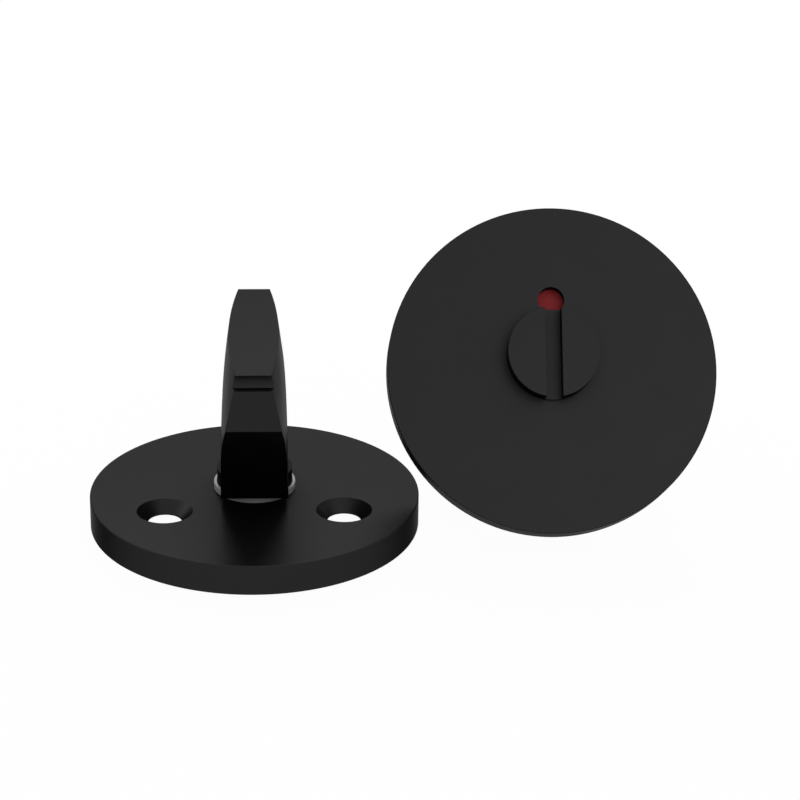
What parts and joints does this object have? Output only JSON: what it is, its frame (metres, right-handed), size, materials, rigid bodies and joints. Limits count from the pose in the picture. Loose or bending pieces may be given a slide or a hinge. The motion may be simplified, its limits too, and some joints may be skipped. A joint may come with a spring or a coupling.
{
  "type": "bathroom thumb turn lock",
  "caption": "Bathroom thumb turn and emergency release: a flat rose with a standing boat shaped turn, and a leaning rose with a coin slotted hub, a red indicator window, spindle and pillars.",
  "frame": {"origin": "on the thumb turn's axis in the plane of the inside rose's back, where the spindle enters", "axes": "+Z along the thumb turn's axis out of the inside rose's face; +X along the line of its two screw holes, towards the outside rose; +Y towards the far end of the grip at rest"},
  "size_m": [0.0989, 0.0653, 0.0462],
  "materials": {
    "black_coat": "fine matt black powder coat",
    "nylon": "natural moulded nylon",
    "plated_steel": "bright zinc plate",
    "spring_steel": "oiled dark spring steel",
    "red_field": "matt red enamel",
    "white_field": "matt white enamel"
  },
  "bodies": {
    "roses": {"turn_plate": "black_coat", "turn_bush": "nylon", "release_plate": "black_coat", "release_stop_pin": "plated_steel", "pillar_left": "plated_steel", "pillar_right": "plated_steel"},
    "turn": {"thumb_turn": "black_coat", "turn_stop_washer": "plated_steel", "turn_bow_washer": "spring_steel", "turn_circlip": "spring_steel"},
    "release": {"release_hub": "black_coat", "indicator_disc": "plated_steel", "indicator_red": "red_field", "indicator_white": "white_field", "release_washer": "plated_steel", "release_bow_washer": "spring_steel", "release_circlip": "spring_steel", "spindle": "plated_steel", "spindle_grub_screw": "spring_steel"}
  },
  "joints": [
    {"name": "thumb_turn_hinge", "type": "hinge", "parent": "roses", "child": "turn", "pos_m": [0, 0, 0], "axis": [0, 0, 1], "range_deg": [0, 90]},
    {"name": "release_hinge", "type": "hinge", "parent": "roses", "child": "release", "pos_m": [0.0469, 0.0059, 0.02369], "axis": [0, -0.8384, 0.545], "range_deg": [-90, 0]}
  ]
}
